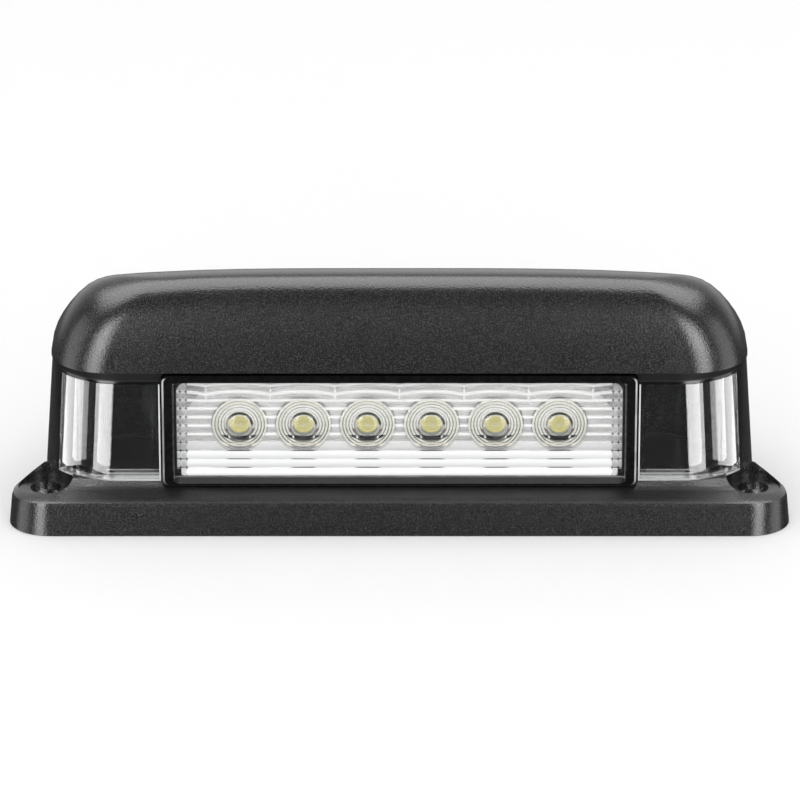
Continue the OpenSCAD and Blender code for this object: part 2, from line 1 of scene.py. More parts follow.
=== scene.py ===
"""Looks of a number plate lamp: grained shell, gloss bezel, fluted and clear lenses.

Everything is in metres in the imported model's frame: +X right, the window faces -Y, and
+Z is up from the base.
"""

import logging
import math
from dataclasses import dataclass, field, replace
from enum import Enum
from typing import Any, Dict, Iterable, List, Optional, Sequence, Tuple, Union

import bmesh
import bpy
from mathutils import Matrix, Vector


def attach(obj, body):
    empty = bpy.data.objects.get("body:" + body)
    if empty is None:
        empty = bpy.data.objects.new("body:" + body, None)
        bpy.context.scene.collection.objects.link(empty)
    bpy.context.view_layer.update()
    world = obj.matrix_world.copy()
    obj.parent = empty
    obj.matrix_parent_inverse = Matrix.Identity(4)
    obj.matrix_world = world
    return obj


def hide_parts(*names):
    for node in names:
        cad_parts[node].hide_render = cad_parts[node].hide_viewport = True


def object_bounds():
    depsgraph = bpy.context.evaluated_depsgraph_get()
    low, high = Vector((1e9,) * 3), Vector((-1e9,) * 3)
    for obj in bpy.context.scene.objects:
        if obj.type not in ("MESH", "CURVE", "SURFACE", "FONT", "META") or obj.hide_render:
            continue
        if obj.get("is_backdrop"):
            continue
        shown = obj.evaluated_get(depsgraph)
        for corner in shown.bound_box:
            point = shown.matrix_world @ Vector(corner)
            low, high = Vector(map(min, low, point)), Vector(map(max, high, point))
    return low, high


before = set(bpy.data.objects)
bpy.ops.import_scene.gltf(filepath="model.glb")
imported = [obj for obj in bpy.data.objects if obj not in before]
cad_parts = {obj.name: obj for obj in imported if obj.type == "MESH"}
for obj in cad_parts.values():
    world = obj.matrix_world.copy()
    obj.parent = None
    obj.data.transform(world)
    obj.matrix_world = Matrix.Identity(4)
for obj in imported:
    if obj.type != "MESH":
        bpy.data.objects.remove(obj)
LOG = logging.getLogger("plate_lamp")

Rgb = Tuple[float, float, float]
Profile = Sequence[Tuple[float, float]]

MM = 0.001
DIODE_COUNT = 6
DIODE_PITCH = 12.32 * MM
DIODE_HEIGHT = 16.9 * MM
WINDOW_CENTRE = 18.7 * MM
PHOTO_WIDTH = 800
PIXELS_PER_MM = 5.235
BLACK: Rgb = (0.0, 0.0, 0.0)
WHITE: Rgb = (1.0, 1.0, 1.0)

# Sockets of a Mix node that mixes colours.
MIX_FACTOR, MIX_FIRST, MIX_SECOND, MIX_RESULT = 0, 6, 7, 2


class Grain(Enum):
    """Grain of a moulded surface in cells per metre. A smooth one has faint waves."""

    SMOOTH = 700.0
    FINE = 4200.0
    COARSE = 2700.0


class Glow(Enum):
    """Which surfaces a lamp acts on: matt ones, or glossy ones that mirror it."""

    MATT = "matt"
    MIRRORED = "mirrored"


class Value:
    """A shader socket in Python expressions, each of which adds a Math node."""

    def __init__(self, kit: "Kit", socket: Any) -> None:
        """Wraps a socket.

        Args:
            kit: the material builder that owns the node.
            socket: the output socket to carry on from.
        """
        self.kit = kit
        self.socket = socket

    def _math(self, operation: str, *values: Any) -> "Value":
        """Adds a Math node.

        Args:
            operation: the node's operation.
            values: its inputs in order.

        Returns:
            The node's result.
        """
        return self.kit.node("ShaderNodeMath", {"operation": operation}, list(values))

    def __add__(self, other: Any) -> "Value":
        """Sum."""
        return self._math("ADD", self, other)

    __radd__ = __add__

    def __sub__(self, other: Any) -> "Value":
        """Difference."""
        return self._math("SUBTRACT", self, other)

    def __rsub__(self, other: Any) -> "Value":
        """Difference the other way round."""
        return self._math("SUBTRACT", other, self)

    def __mul__(self, other: Any) -> "Value":
        """Product."""
        return self._math("MULTIPLY", self, other)

    __rmul__ = __mul__

    def __truediv__(self, other: Any) -> "Value":
        """Quotient."""
        return self._math("DIVIDE", self, other)

    def __rtruediv__(self, other: Any) -> "Value":
        """Quotient the other way round."""
        return self._math("DIVIDE", other, self)

    def __pow__(self, other: Any) -> "Value":
        """Power."""
        return self._math("POWER", self, other)

    def __abs__(self) -> "Value":
        """Absolute value."""
        return self._math("ABSOLUTE", self)

    def fract(self) -> "Value":
        """Part after the decimal point."""
        return self._math("FRACT", self)

    def root(self) -> "Value":
        """Square root."""
        return self._math("SQRT", self)

    def least(self, other: Any) -> "Value":
        """Smaller of two."""
        return self._math("MINIMUM", self, other)

    def most(self, other: Any) -> "Value":
        """Larger of two."""
        return self._math("MAXIMUM", self, other)

    def rise(
        self, low: float, high: float, start: float = 0.0, end: float = 1.0
    ) -> "Value":
        """Smooth step.

        Args:
            low: value at which the step starts.
            high: value at which it ends. Below low, the step falls.
            start: result before the step.
            end: result after it.

        Returns:
            The stepped value.
        """
        settings = {"interpolation_type": "SMOOTHSTEP", "clamp": True}
        if low > high:
            low, high, start, end = high, low, end, start
        values = [self, low, high, start, end]
        return self.kit.node("ShaderNodeMapRange", settings, values)

    def above(self, limit: float, soft: float) -> "Value":
        """One above a limit, zero below it, over a soft edge to both sides."""
        return self.rise(limit - soft, limit + soft)

    def below(self, limit: float, soft: float) -> "Value":
        """One below a limit, zero above it, over a soft edge to both sides."""
        return self.rise(limit + soft, limit - soft)

    def band(self, centre: float, half: float, soft: float) -> "Value":
        """One inside a band round a value, zero outside, with soft edges."""
        return abs(self - centre).rise(half + soft, half)

    def spread(self, start: float = 0.0, end: float = 1.0) -> "Value":
        """A noise's middle range stretched from one value to another."""
        return self.rise(0.3, 0.7, start, end)


Veil = Tuple[Value, Value, Union[float, Value]]


def scaled(colour: Rgb, factor: float) -> Rgb:
    """A colour made darker or lighter."""
    return tuple(c * factor for c in colour)


class Kit:
    """Builds the nodes of one material or world."""

    def __init__(self, name: str, world: bool = False) -> None:
        """Starts an empty material or world.

        Args:
            name: its name.
            world: whether it is a world.
        """
        holders = bpy.data.worlds if world else bpy.data.materials
        self.holder = holders.new(name)
        self.holder.use_nodes = True
        self.tree = self.holder.node_tree
        self.tree.nodes.clear()
        kind = "ShaderNodeOutputWorld" if world else "ShaderNodeOutputMaterial"
        self.out = self.tree.nodes.new(kind)

    def node(
        self,
        kind: str,
        settings: Optional[Dict[str, Any]] = None,
        inputs: Union[Sequence[Any], Dict[Any, Any], None] = None,
        out: Union[int, str] = 0,
    ) -> Value:
        """Adds a node, sets it up and then fills its inputs.

        Args:
            kind: the node's type.
            settings: its properties.
            inputs: values or links, in order or by socket name.
            out: which output to return.

        Returns:
            The chosen output.
        """
        made = self.tree.nodes.new(kind)
        for key, value in (settings or {}).items():
            setattr(made, key, value)
        pairs = inputs.items() if isinstance(inputs, dict) else enumerate(inputs or [])
        for key, value in pairs:
            if isinstance(value, Value):
                self.tree.links.new(value.socket, made.inputs[key])
            else:
                made.inputs[key].default_value = value
        return Value(self, made.outputs[out])

    def place(self) -> Value:
        """Object coordinates of the shaded point."""
        return self.node("ShaderNodeTexCoord", out="Object")

    def axes(self, vector: Value) -> Tuple[Value, Value, Value]:
        """Splits a vector.

        Args:
            vector: what to split.

        Returns:
            Its three parts.
        """
        split = self.node("ShaderNodeSeparateXYZ", None, [vector]).socket.node
        return tuple(Value(self, socket) for socket in split.outputs)

    def noise(
        self, vector: Value, scale: float, detail: float = 2.0, roughness: float = 0.5
    ) -> Value:
        """Noise of a scale per metre.

        Args:
            vector: where to read it.
            scale: features per metre.
            detail: octaves.
            roughness: weight of the finer octaves.

        Returns:
            The noise value from 0 to 1.
        """
        octaves = {"Detail": detail, "Roughness": roughness}
        inputs = {"Vector": vector, "Scale": scale, **octaves}
        return self.node("ShaderNodeTexNoise", None, inputs)

    def drawn_out(self, vector: Value, scale: Tuple[float, float, float]) -> Value:
        """Coordinates scaled on each axis; below 1 draws a pattern out along it."""
        return self.node("ShaderNodeMapping", None, {"Vector": vector, "Scale": scale})

    def cells(self, vector: Value, scale: float) -> Value:
        """Distance to the nearest of the scattered points, at a scale per metre."""
        inputs = {"Vector": vector, "Scale": scale}
        return self.node("ShaderNodeTexVoronoi", None, inputs)

    def frame(
        self, across: Value, up: Value, half: float, tall: float, corner: float
    ) -> Value:
        """Distance out of a rectangle with round corners.

        Args:
            across: level place from the centre.
            up: upright place from the centre.
            half: half the width.
            tall: half the height.
            corner: the corners' radius.

        Returns:
            The distance, negative inside near the border.
        """
        side = (abs(across) - (half - corner)).most(0.0)
        rise = (abs(up) - (tall - corner)).most(0.0)
        return (side * side + rise * rise).root() - corner

    def blend(self, factor: Any, first: Any, second: Any) -> Value:
        """Mix of two colours.

        Args:
            factor: share of the second colour.
            first: a colour or a link.
            second: a colour or a link.

        Returns:
            The mixed colour.
        """
        opaque = [(*c, 1.0) if isinstance(c, tuple) else c for c in (first, second)]
        inputs = {MIX_FACTOR: factor, MIX_FIRST: opaque[0], MIX_SECOND: opaque[1]}
        return self.node("ShaderNodeMix", {"data_type": "RGBA"}, inputs, MIX_RESULT)

    def bump(self, height: Value, strength: float, depth: float) -> Value:
        """Normal bent by a height, whose full range is depth in metres."""
        inputs = {"Strength": strength, "Distance": depth, "Height": height}
        return self.node("ShaderNodeBump", None, inputs)

    def principled(self, inputs: Dict[str, Any]) -> Value:
        """Adds the main shader.

        Args:
            inputs: its sockets by name.

        Returns:
            The shader.
        """
        colour = inputs.get("Base Color")
        if isinstance(colour, tuple):
            inputs["Base Color"] = (*colour, 1.0)
        return self.node("ShaderNodeBsdfPrincipled", None, inputs)

    def mirrored(
        self,
        under: Value,
        normal: Value,
        roughness: float,
        base: float,
        grazing: float,
        power: float,
        most: float = 0.65,
    ) -> Value:
        """Lays a mirror over a shader, stronger towards grazing angles.

        Args:
            under: the shader below.
            normal: the mirror's normal.
            roughness: the mirror's roughness.
            base: how much it mirrors straight on.
            grazing: how much more it mirrors at grazing angles.
            power: how late that sets in.
            most: what it mirrors at the most.

        Returns:
            The mixed shader.
        """
        facing = self.node("ShaderNodeLayerWeight", None, {"Blend": 0.5}, "Facing")
        share = (facing**power * grazing + base).least(most)
        mirror = {"Base Color": WHITE, "Metallic": 1.0}
        sheen = self.principled({**mirror, "Roughness": roughness, "Normal": normal})
        return self.node("ShaderNodeMixShader", None, [share, under, sheen])

    def done(self, shader: Value) -> Any:
        """Joins the shader to the output.

        Args:
            shader: what the surface shows.

        Returns:
            The finished material or world.
        """
        self.tree.links.new(shader.socket, self.out.inputs["Surface"])
        return self.holder


@dataclass(frozen=True)
class MouldedPlastic:
    """Opaque moulded plastic, grained or smooth."""

    name: str
    colour: Rgb
    roughness: float
    grain: Grain = Grain.SMOOTH
    grain_depth: float = 0.03 * MM
    specular: float = 0.5
    highlight_tone: Rgb = (0.55, 0.55, 0.56)
    polished: float = 0.16
    cloud_scale: float = 90.0
    # How much lighter the painted glints on the grain are than the colour.
    sparkle_tone: float = 5.2

    def polish(self, kit: Kit, at: Value) -> Union[float, Value]:
        """Where the surface is polished, from 0 to 1."""
        return 0.0

    def shade(self, kit: Kit, at: Value) -> Union[float, Value]:
        """Where shade is painted in by taking the shine away, from 0 to 1."""
        return 0.0

    def line(self, kit: Kit, at: Value) -> Union[float, Value]:
        """Where a highlight is painted along an edge, from 0 to 1."""
        return 0.0

    def build(self) -> bpy.types.Material:
        """Makes the material.

        Returns:
            Plastic with a grain in its height, its gloss and its colour.
        """
        kit = Kit(self.name)
        at = kit.place()
        cloud = kit.noise(at, self.cloud_scale, 3.0)
        plain = 1.0 - self.polish(kit, at)
        scale = self.grain.value
        fine = kit.noise(at, scale * 1.3, 3.0, 0.6)
        pits = kit.cells(at, scale).rise(0.1, 0.75)
        if self.grain is Grain.SMOOTH:
            height = fine * 0.4 + cloud * 0.6
            strength, depth, sparkly = 0.05, 0.04 * MM, 0.0
        else:
            height = (pits * 0.55 + fine * 0.6) * plain
            strength, depth, sparkly = 0.9, self.grain_depth, 1.0
        # Painted shade: where the mask is one, the surface turns metallic and rough, so
        # its near-black colour takes the shine away.
        painted_shade = self.shade(kit, at)
        gloss = fine.spread(self.polished - 0.03, self.polished + 0.03)
        rough = gloss + plain * (self.roughness - self.polished) + painted_shade * 0.35
        tone = (fine * 0.6 + cloud * 0.4).spread() * (plain * 0.8 + 0.2)
        colour = kit.blend(tone, scaled(self.colour, 0.6), scaled(self.colour, 1.3))
        # Painted glints: lighter specks over the grain stand in for light catching its
        # bumps.
        grains = kit.noise(at, scale * 1.35, 2.0, 0.6).rise(0.47, 0.68)
        sparkle = grains * plain * sparkly * 0.9
        colour = kit.blend(sparkle, colour, scaled(self.colour, self.sparkle_tone))
        # Painted highlight: where the line hook finds an edge, the colour takes the
        # highlight tone.
        colour = kit.blend(self.line(kit, at), colour, self.highlight_tone)
        shader = kit.principled(
            {
                "Base Color": colour,
                "Metallic": painted_shade * 0.85,
                "Roughness": rough,
                "Specular IOR Level": self.specular,
                "Normal": kit.bump(height, strength, depth),
            }
        )
        return kit.done(shader)


@dataclass(frozen=True)
class HousingPlastic(MouldedPlastic):
    """Grained plastic that is polished in the recess behind and round the lenses."""

    low: float = 8.5 * MM
    high: float = 31.4 * MM
    rear: float = -3.0 * MM
    recess_end: float = 66.0 * MM
    lens_top: float = 28.3 * MM
    flange_top: float = 7.1 * MM
    flange_end: float = 63.0 * MM

    def ahead(self, y: Value) -> Value:
        """One in front of the side walls' middle, zero behind it."""
        return y.rise(self.rear, self.rear - 1.5 * MM)

    def polish(self, kit: Kit, at: Value) -> Value:
        """Finds the recess, between the flange and the hood.

        Args:
            kit: the material builder.
            at: object coordinates.

        Returns:
            One in the recess, zero elsewhere.
        """
        x, y, z = kit.axes(at)
        bottom = z.rise(self.low, self.low + 0.5 * MM)
        top = z.rise(self.high, self.high - 0.3 * MM)
        return bottom * top * self.ahead(y) * abs(x).below(self.recess_end, 0.5 * MM)

    def shade(self, kit: Kit, at: Value) -> Value:
        """Finds where shade is painted in: the recess above the lenses, and the flange's
        top between the ears.

        Args:
            kit: the material builder.
            at: object coordinates.

        Returns:
            One in the recess's shaded part, less on the flange, zero elsewhere.
        """
        x, y, z = kit.axes(at)
        above = z.rise(self.lens_top, self.lens_top + 0.5 * MM)
        above = above * z.rise(self.high, self.high - 0.2 * MM)
        flange = z.band(self.flange_top, 0.45 * MM, 0.25 * MM)
        flange = flange * abs(x).below(self.flange_end, 3.0 * MM)
        return above.most(flange * 0.6) * self.ahead(y)


@dataclass(frozen=True)
class BezelPlastic(MouldedPlastic):
    """Polished plastic with highlights painted along its edges."""

    half: float = 45.4 * MM
    tall: float = 11.45 * MM
    corner: float = 1.5 * MM
    window_half: float = 43.1 * MM
    window_tall: float = 9.6 * MM
    front: float = -15.6 * MM
    low: float = 8.1 * MM
    high: float = 29.5 * MM

    def line(self, kit: Kit, at: Value) -> Value:
        """Finds a painted highlight just inside the outer edge, and a fainter one along
        the window.

        Args:
            kit: the material builder.
            at: object coordinates.

        Returns:
            How strong the painted highlight is, from 0 to 1.
        """
        x, y, z = kit.axes(at)
        up = z - WINDOW_CENTRE
        outer = kit.frame(x, up, self.half, self.tall, self.corner)
        window = (abs(x) - self.window_half).most(abs(up) - self.window_tall)
        patchy = kit.noise(at, 160.0).spread(0.45, 1.0)
        seen = y.below(self.front, 0.2 * MM) * z.below(self.high, 0.3 * MM)
        seen = seen * z.above(self.low, 0.7 * MM)
        # Painted highlights along the outer edge and the window's edge, patchy along their
        # length.
        edge = outer.band(-0.18 * MM, 0.12 * MM, 0.1 * MM) * seen
        window_highlight = window.band(0.12 * MM, 0.06 * MM, 0.1 * MM) * 0.3
        return edge.most(window_highlight) * patchy


@dataclass(frozen=True)
class ClearPlastic:
    """Clear polished plastic that lets light and shadow rays through."""

    name: str
    roughness: float = 0.03
    gloss: float = 0.03
    grazing: float = 0.57
    power: float = 5.0
    painted_glow: Rgb = (0.3, 0.3, 0.29)

    def veil(self, kit: Kit, at: Value) -> Veil:
        """Works out how much of the surface hides what is behind, and how that looks.

        Args:
            kit: the material builder.
            at: object coordinates.

        Returns:
            Alpha, colour, and where a glow is painted on.
        """
        raise NotImplementedError

    def build(self) -> bpy.types.Material:
        """Makes the material.

        Returns:
            A thin veil under a full mirror gloss.
        """
        kit = Kit(self.name)
        at = kit.place()
        alpha, colour, glow_mask = self.veil(kit, at)
        normal = kit.bump(kit.noise(at, 120.0), 0.06, 0.06 * MM)
        body = kit.principled(
            {
                "Base Color": colour,
                "Roughness": 0.5,
                "Specular IOR Level": 0.0,
                # Painted glow: the plastic gives off light where the glow mask says.
                "Emission Color": kit.blend(glow_mask, BLACK, self.painted_glow),
                "Emission Strength": 1.0,
                "Alpha": alpha,
                "Normal": normal,
            }
        )
        sheen = kit.mirrored(
            body, normal, self.roughness, self.gloss, self.grazing, self.power
        )
        return kit.done(sheen)


@dataclass(frozen=True)
class CornerPlastic(ClearPlastic):
    """Clear plastic of a corner lens: painted highlights on its edges, a ledge and faint
    flow lines.
    """

    alpha: float = 0.006
    low: float = 8.0 * MM
    inner: float = 45.96 * MM
    outer: float = 64.3 * MM
    ledge_end: float = 56.5 * MM
    ledge_top: float = 1.6 * MM
    clear_tone: Rgb = (0.75, 0.77, 0.78)
    highlight_tone: Rgb = (0.95, 0.95, 0.95)

    def veil(self, kit: Kit, at: Value) -> Veil:
        """Draws painted highlights on the lens's edges, its ledge and its flow lines.

        Args:
            kit: the material builder.
            at: object coordinates.

        Returns:
            Alpha, colour, and no carried light.
        """
        x, _, z = kit.axes(at)
        side = abs(x)
        flow = kit.noise(kit.drawn_out(at, (1.0, 1.0, 0.1)), 700.0, 3.0)
        # Painted highlights: the inner end, the outer rim, the foot and the ledge's step.
        end = side.band(self.inner, 0.09 * MM, 0.08 * MM)
        foot = z.rise(self.low + 0.55 * MM, self.low + 0.3 * MM)
        rim = side.band(self.outer, 0.12 * MM, 0.15 * MM)
        patchy = kit.noise(at, 300.0).rise(0.3, 0.65, 0.5, 1.0)
        inside = side.below(self.ledge_end, 0.5 * MM)
        ledge = z.below(self.low + self.ledge_top, 0.1 * MM) * inside
        step = z.band(self.low + 1.65 * MM, 0.07 * MM, 0.09 * MM) * inside
        edges = end.most(rim * 0.3 * patchy).most(foot * 0.8).most(step * 0.5)
        streak = flow.rise(0.56, 0.8) * 0.03 + self.alpha
        alpha = edges.most(ledge * 0.22).most(streak)
        return alpha, kit.blend(edges, self.clear_tone, self.highlight_tone), 0.0


@dataclass(frozen=True)
class FlutedPlastic(ClearPlastic):
    """Clear fluted plastic: painted light on the white rows below, painted shade and
    highlights above.
    """

    low: float = 9.1 * MM
    pitch: float = 19.2 / 11 * MM
    white_rows: float = 3.0
    pale_rows: float = 4.0
    arc_row: float = 9.0
    arc_rise: float = 1.3
    flute_end: float = 40.8 * MM
    cell: float = 1.15 * MM
    lit_end: float = 41.7 * MM
    dark_corner: float = 41.85 * MM
    optic_seen: float = 19.6 * MM
    optic_clear: float = 4.9 * MM
    optic_edge: float = 5.7 * MM
    border_half: float = 42.6 * MM
    border_tall: float = 9.5 * MM
    border_corner: float = 1.6 * MM
    front: float = -14.2 * MM
    row_tone: Rgb = (0.97, 0.975, 0.975)
    row_shade_tone: Rgb = (0.3, 0.3, 0.31)
    cell_tone: Rgb = (0.36, 0.36, 0.37)
    glint_tone: Rgb = (0.97, 0.97, 0.97)
    joint_tone: Rgb = (0.02, 0.02, 0.02)

    def before_optic(self, across: Value, side: Value, z: Value) -> Value:
        """Finds where an optic is seen through the flutes.

        Args:
            across: level distance from the nearest diode's axis, in diode pitches.
            side: level distance from the window's centre.
            z: height.

        Returns:
            One in front of an optic, zero between and beside them.
        """
        level = z - self.optic_seen
        beside = across * DIODE_PITCH
        away = (beside * beside + level * level).root()
        row_end = DIODE_COUNT / 2 * DIODE_PITCH
        among = side.rise(row_end + 0.01 * DIODE_PITCH, row_end - 0.02 * DIODE_PITCH)
        return away.rise(self.optic_edge, self.optic_clear) * among

    def veil(self, kit: Kit, at: Value) -> Veil:
        """Draws rows of flutes, arcs over the diodes and the small cells at the ends.

        Args:
            kit: the material builder.
            at: object coordinates.

        Returns:
            Alpha, colour and where a glow is painted on.
        """
        x, y, z = kit.axes(at)
        side = abs(x)
        height = (z - self.low) / self.pitch
        across = abs((x / DIODE_PITCH).fract() - 0.5)
        arcs = (across * across * self.arc_rise) * height.above(self.arc_row, 0.4)
        row = (height + arcs).fract()
        edge = abs(row - 0.5)
        streak = kit.noise(kit.drawn_out(at, (0.12, 1.0, 1.0)), 900.0, 3.0)
        over = self.before_optic(across, side, z)

        # The rows: painted highlights and painted shade above, a veil of painted light
        # below.
        white = edge.rise(0.24, 0.4)
        row_shade = row.band(0.45, 0.12, 0.16) * streak.rise(0.35, 0.6)
        upper = (white * 0.75).most(row_shade * 0.48 + 0.04) * (1.0 - over * 0.85)
        plain = height.below(self.white_rows, 0.08)
        pale = height.below(self.pale_rows, 0.05)
        lower = ((1.0 - over) * 0.5).most(plain * 0.7 + 0.2)
        body = upper * (1.0 - pale) + pale * lower
        tone = kit.blend(row_shade * (1.0 - pale) * 0.8, self.row_tone, self.row_shade_tone)

        # Fine dark joints between the pale rows, and upright painted glints where the arcs
        # meet.
        dashes = across.below(0.18, 0.06) * 0.95 + streak.rise(0.42, 0.6) * 0.25
        lines = edge.rise(0.42, 0.475) * pale * dashes
        arc_glint = across.rise(0.47, 0.495) * height.above(self.arc_row, 0.1)

        # Round cells at both ends, painted glints on their rims, and the dark border round
        # everything.
        ends = side.above(self.flute_end, 0.05 * MM)
        column = abs(((side - self.flute_end) / self.cell).fract() - 0.5)
        bubble = (column * column + edge * edge).root()
        ring = bubble.band(0.42, 0.03, 0.08) * ends * streak.rise(0.3, 0.6)
        pip = bubble.rise(0.5, 0.62) * ends
        corner = side.above(self.dark_corner, 0.05 * MM) * height.below(0.9, 0.05)
        notch = side.band(self.flute_end - 0.05 * MM, 0.1 * MM, 0.1 * MM)
        notch = notch * edge.rise(0.25, 0.45)
        border = kit.frame(
            x, z - WINDOW_CENTRE, self.border_half, self.border_tall, self.border_corner
        ).rise(-0.05 * MM, 0.1 * MM)

        dark = lines.most(pip * 0.7).most(corner).most(notch * 0.8).most(border)
        colour = kit.blend(ends * 0.65, tone, self.cell_tone)
        colour = kit.blend((ring * 0.7).most(arc_glint), colour, self.glint_tone)
        colour = kit.blend(dark, colour, self.joint_tone)
        alpha = body.most(dark * 0.9).most(ring * 0.6)
        alpha = alpha.most(arc_glint * 0.6).most(ends * 0.55).least(0.94)
        # Painted glow along the lowest row.
        glow_mask = height.rise(0.95, 0.5) * side.below(self.lit_end, 0.2 * MM)
        return alpha * y.below(self.front, 0.2 * MM), colour, glow_mask


@dataclass(frozen=True)
class WhiteReflector:
    """Glossy white moulding."""

    name: str
    colour: Rgb = (0.9, 0.905, 0.9)

    def build(self) -> bpy.types.Material:
        """Makes the material.

        Returns:
            White with a faint flow pattern.
        """
        kit = Kit(self.name)
        flow = kit.noise(kit.place(), 160.0, 3.0)
        colour = kit.blend(flow.rise(0.3, 0.75), scaled(self.colour, 0.93), self.colour)
        shader = kit.principled(
            {
                "Base Color": colour,
                "Roughness": flow.spread(0.2, 0.32),
                "Normal": kit.bump(flow, 0.08, 0.1 * MM),
            }
        )
        return kit.done(shader)


@dataclass(frozen=True)
class DiodePackage:
    """White package with a round yellow face, lightened by a painted glow."""

    name: str
    face: float = 2.2 * MM
    deep_yellow: Rgb = (0.76, 0.71, 0.32)
    pale_yellow: Rgb = (0.87, 0.83, 0.46)
    package: Rgb = (0.82, 0.82, 0.78)
    glow: Rgb = (0.3, 0.275, 0.11)

    def build(self) -> bpy.types.Material:
        """Makes the material.

        Returns:
            Yellow inside the face's circle, white outside it.
        """
        kit = Kit(self.name)
        at = kit.place()
        x, _, z = kit.axes(at)
        across = ((x / DIODE_PITCH).fract() - 0.5) * DIODE_PITCH
        up = z - DIODE_HEIGHT
        away = (across * across + up * up).root()
        speckle = kit.noise(at, 2500.0)
        yellow = kit.blend(speckle.spread(), self.deep_yellow, self.pale_yellow)
        rim = away.rise(self.face - 0.15 * MM, self.face)
        shader = kit.principled(
            {
                "Base Color": kit.blend(rim, yellow, self.package),
                "Roughness": 0.4,
                # Painted glow: the yellow face gives off a little light.
                "Emission Color": kit.blend(rim, self.glow, BLACK),
                "Emission Strength": 1.0,
                "Normal": kit.bump(speckle, 0.15, 0.03 * MM),
            }
        )
        return kit.done(shader)


@dataclass(frozen=True)
class OpticPlastic(ClearPlastic):
    """Clear ringed optic: turned rings show as pale and dark circles round each diode.

    The radii and heights are in millimetres from the optic's axis.
    """

    dome: float = 2.6
    ring_start: float = 2.45
    ring_pitch: float = 0.6
    bowl_radius: float = 5.6
    bowl_centre: float = 2.2
    glint: float = 2.0
    front: float = -7.55 * MM
    ring_tone: Rgb = (0.97, 0.97, 0.95)
    line_tone: Rgb = (0.2, 0.19, 0.11)
    gold_tone: Rgb = (0.83, 0.78, 0.52)
    lower_tone: Rgb = (0.2, 0.21, 0.2)
    dark_tone: Rgb = (0.03, 0.03, 0.03)

    def veil(self, kit: Kit, at: Value) -> Veil:
        """Draws circles round the optic's axis, and two dark crescents below it.

        Args:
            kit: the material builder.
            at: object coordinates.

        Returns:
            Alpha, colour and where a glow is painted on.
        """
        x, y, z = kit.axes(at)
        across = ((x / DIODE_PITCH).fract() - 0.5) * (DIODE_PITCH / MM)
        side = abs(across)
        up = (z - DIODE_HEIGHT) / MM
        away = (across * across + up * up).root()
        wobble = kit.noise(at, 420.0)
        outside = away.above(self.dome, 0.1)

        # The turned rings: a dark line in each groove, pale on each ridge.
        turn = (away + wobble * 0.12 - self.ring_start) / self.ring_pitch
        ring = abs(turn.fract() - 0.5)
        line = ring.rise(0.3, 0.44) * outside
        pale = ring.rise(0.22, 0.08) * outside
        halo = away.band(2.22, 0.08, 0.1)

        # Dark marks: an arc over the diode, a lobe to each side below, two crescents.
        level = up / away.most(0.01)
        top = (level + across / away.most(0.01) * 0.3).rise(0.1, 0.45)
        arc = away.band(2.42, 0.16, 0.12) * top
        lobes = away.band(2.75, 0.14, 0.12) * level.rise(-0.25, -0.4)
        lobes = lobes * side.rise(0.9, 1.3)
        drop = up - self.bowl_centre
        bowl = (across * across + drop * drop).root()
        first = bowl.rise(self.bowl_radius + 0.07, self.bowl_radius - 0.1)
        first = first * up.rise(-2.05, -2.2) * wobble.rise(0.25, 0.5, 0.7, 1.0)
        glints = first * abs(side - self.glint).rise(0.25, 0.1)
        second = away.rise(5.35, 5.2) * up.rise(-4.35, -4.55)
        gold = up.band(-4.0, 0.12, 0.12) * side.rise(3.0, 2.4)
        dark = arc.most(lobes * 0.8).most(first - glints)

        tint = kit.blend(line, self.ring_tone, self.line_tone)
        warm = gold.most(pale * away.above(4.2, 0.4) * 0.5)
        tint = kit.blend(warm, tint, self.gold_tone)
        tint = kit.blend(second * 0.85, tint, self.lower_tone)
        colour = kit.blend(dark, tint, self.dark_tone)
        alpha = (outside * 0.76 + halo * 0.7 + 0.02).most(line * 0.9)
        alpha = alpha.most(dark * 0.96).most(second * 0.9).most(gold * 0.8).least(0.96)
        # Painted glow outside the dark marks and lines.
        glow_mask = outside * (1.0 - dark) * (1.0 - line * 0.8) * (1.0 - second * 0.85)
        return alpha * y.below(self.front, 0.1 * MM), colour, glow_mask * 0.85


@dataclass(frozen=True)
class Metal:
    """Bare or plated metal with fine brushing."""

    name: str
    colour: Rgb
    roughness: float

    def build(self) -> bpy.types.Material:
        """Makes the material.

        Returns:
            Metal with uneven gloss.
        """
        kit = Kit(self.name)
        scratch = kit.noise(kit.place(), 1800.0, 3.0, 0.65)
        shader = kit.principled(
            {
                "Base Color": kit.blend(
                    scratch.spread(), scaled(self.colour, 0.85), self.colour
                ),
                "Metallic": 1.0,
                "Roughness": scratch.spread(self.roughness * 0.8, self.roughness * 1.3),
                "Normal": kit.bump(scratch, 0.2, 0.02 * MM),
            }
        )
        return kit.done(shader)


def shade_by_angle(mesh: bpy.types.Mesh, angle: float, weld: float = 0.8e-6) -> None:
    """Smooths a mesh's shading but keeps the edges sharper than an angle.

    Args:
        mesh: the mesh.
        angle: the limit in degrees.
        weld: points closer than this are one, in metres.
    """
    limit = math.radians(angle)
    work = bmesh.new()
    work.from_mesh(mesh)
    bmesh.ops.remove_doubles(work, verts=work.verts, dist=weld)
    bmesh.ops.dissolve_degenerate(work, edges=work.edges, dist=weld)
    for face in work.faces:
        face.smooth = True
    for edge in work.edges:
        edge.smooth = len(edge.link_faces) == 2 and edge.calc_face_angle() < limit
    work.to_mesh(mesh)
    work.free()


